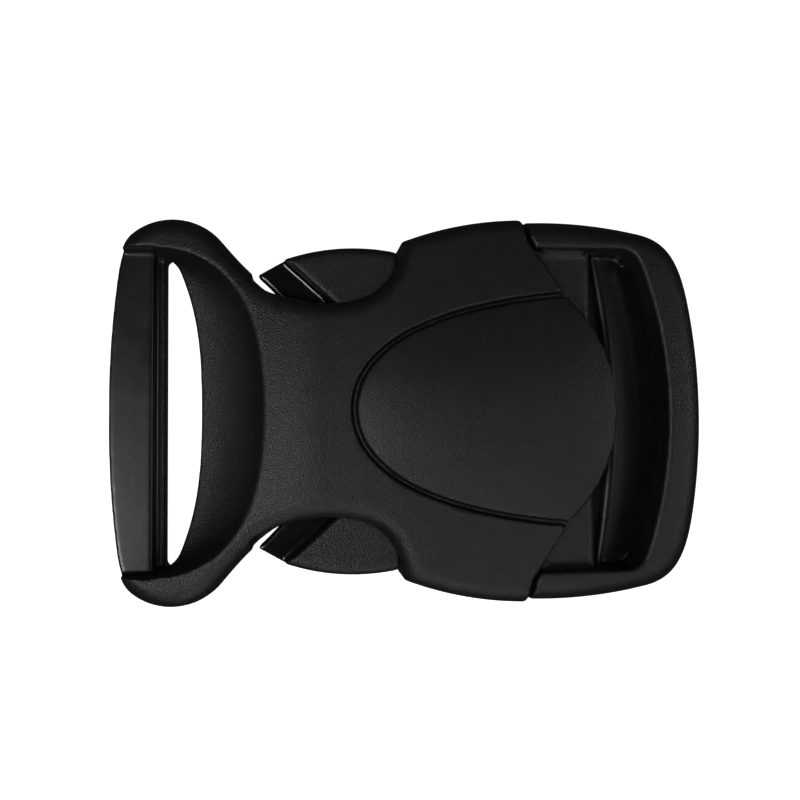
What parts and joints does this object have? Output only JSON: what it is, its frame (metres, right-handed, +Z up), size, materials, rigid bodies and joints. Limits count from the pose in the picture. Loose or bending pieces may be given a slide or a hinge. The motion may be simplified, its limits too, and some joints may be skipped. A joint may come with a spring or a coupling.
{
  "type": "side release buckle",
  "caption": "Closed side-release buckle for flat webbing: a housing with a fixed strap slot, latching an insert that has a strap adjuster and sprung side prongs.",
  "frame": {"origin": "centre of the closed buckle's footprint, on the surface it lies on", "axes": "+X from the housing's strap slot to the insert's rim, the way the insert pulls out; +Y across the webbing; +Z up out of the face with the raised panel"},
  "size_m": [0.0758, 0.0494, 0.0125],
  "materials": {
    "housing_plastic": "black moulding with a fine spark-eroded grain",
    "insert_plastic": "black moulding, fine grain outside and smooth on the strap bar"
  },
  "bodies": {
    "housing": {"housing": "housing_plastic"},
    "insert": {"insert_frame": "insert_plastic"},
    "left_prong": {"left_spring_arm": "insert_plastic", "left_latch_head": "insert_plastic"},
    "right_prong": {"right_spring_arm": "insert_plastic", "right_latch_head": "insert_plastic"}
  },
  "joints": [
    {"name": "insert_slide", "type": "slide", "parent": "housing", "child": "insert", "axis": [1, 0, 0], "range_m": [0, 0.042], "deforming": ["left_latch_head", "right_latch_head"]},
    {"name": "left_prong_flex", "type": "hinge", "parent": "insert", "child": "left_prong", "pos_m": [0.0121, 0.0147, 0.0054], "axis": [0, 0, 1], "range_deg": [0, 9], "stiffness_Nm_per_rad": 1.2},
    {"name": "right_prong_flex", "type": "hinge", "parent": "insert", "child": "right_prong", "pos_m": [0.0121, -0.0147, 0.0054], "axis": [0, 0, -1], "range_deg": [0, 9], "stiffness_Nm_per_rad": 1.2}
  ]
}
